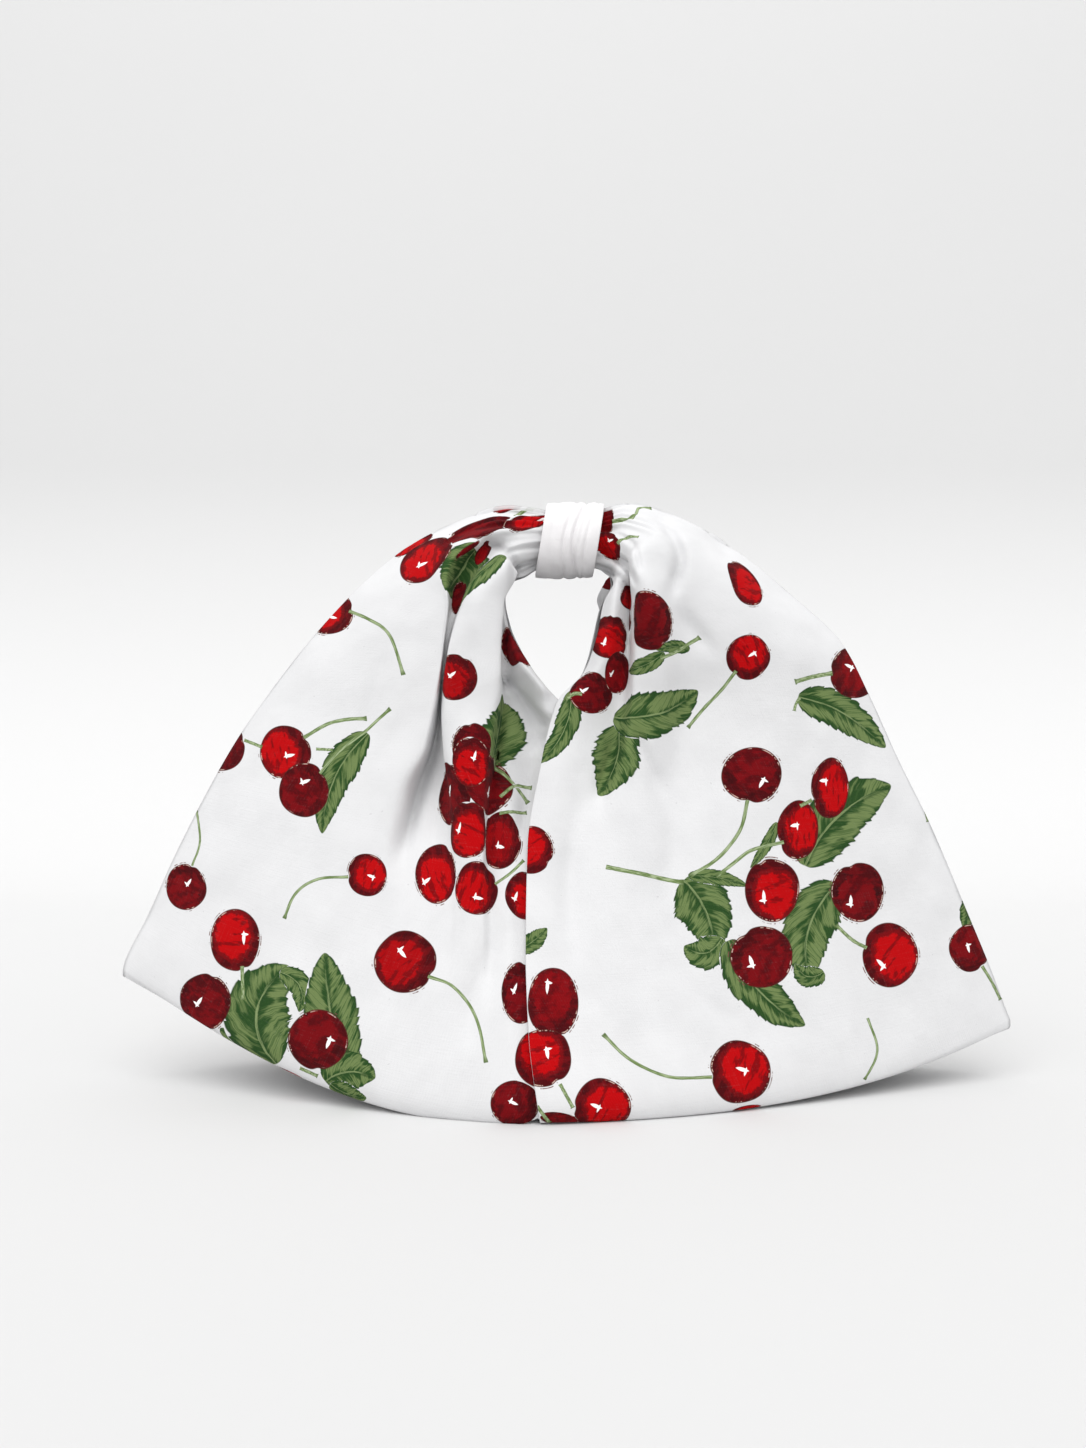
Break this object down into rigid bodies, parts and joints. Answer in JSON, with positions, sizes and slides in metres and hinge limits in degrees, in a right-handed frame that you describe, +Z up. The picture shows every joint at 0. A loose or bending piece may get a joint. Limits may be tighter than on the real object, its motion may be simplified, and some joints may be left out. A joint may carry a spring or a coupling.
{
  "type": "knot bag",
  "caption": "Soft cotton hand bag with a short loop handle gathered into a wrapped band, standing on its base, open at the loop.",
  "frame": {"origin": "on the surface the bag stands on, under the middle of its box", "axes": "+X along the width, to the right as the front is seen; -Y is the front; +Z up"},
  "size_m": [0.534, 0.212, 0.3455],
  "materials": {
    "printed_cotton": "matte canvas",
    "plain_cotton": "matte canvas"
  },
  "bodies": {
    "root": {"left_panel": "printed_cotton", "right_panel": "printed_cotton", "band": "plain_cotton"}
  },
  "joints": []
}
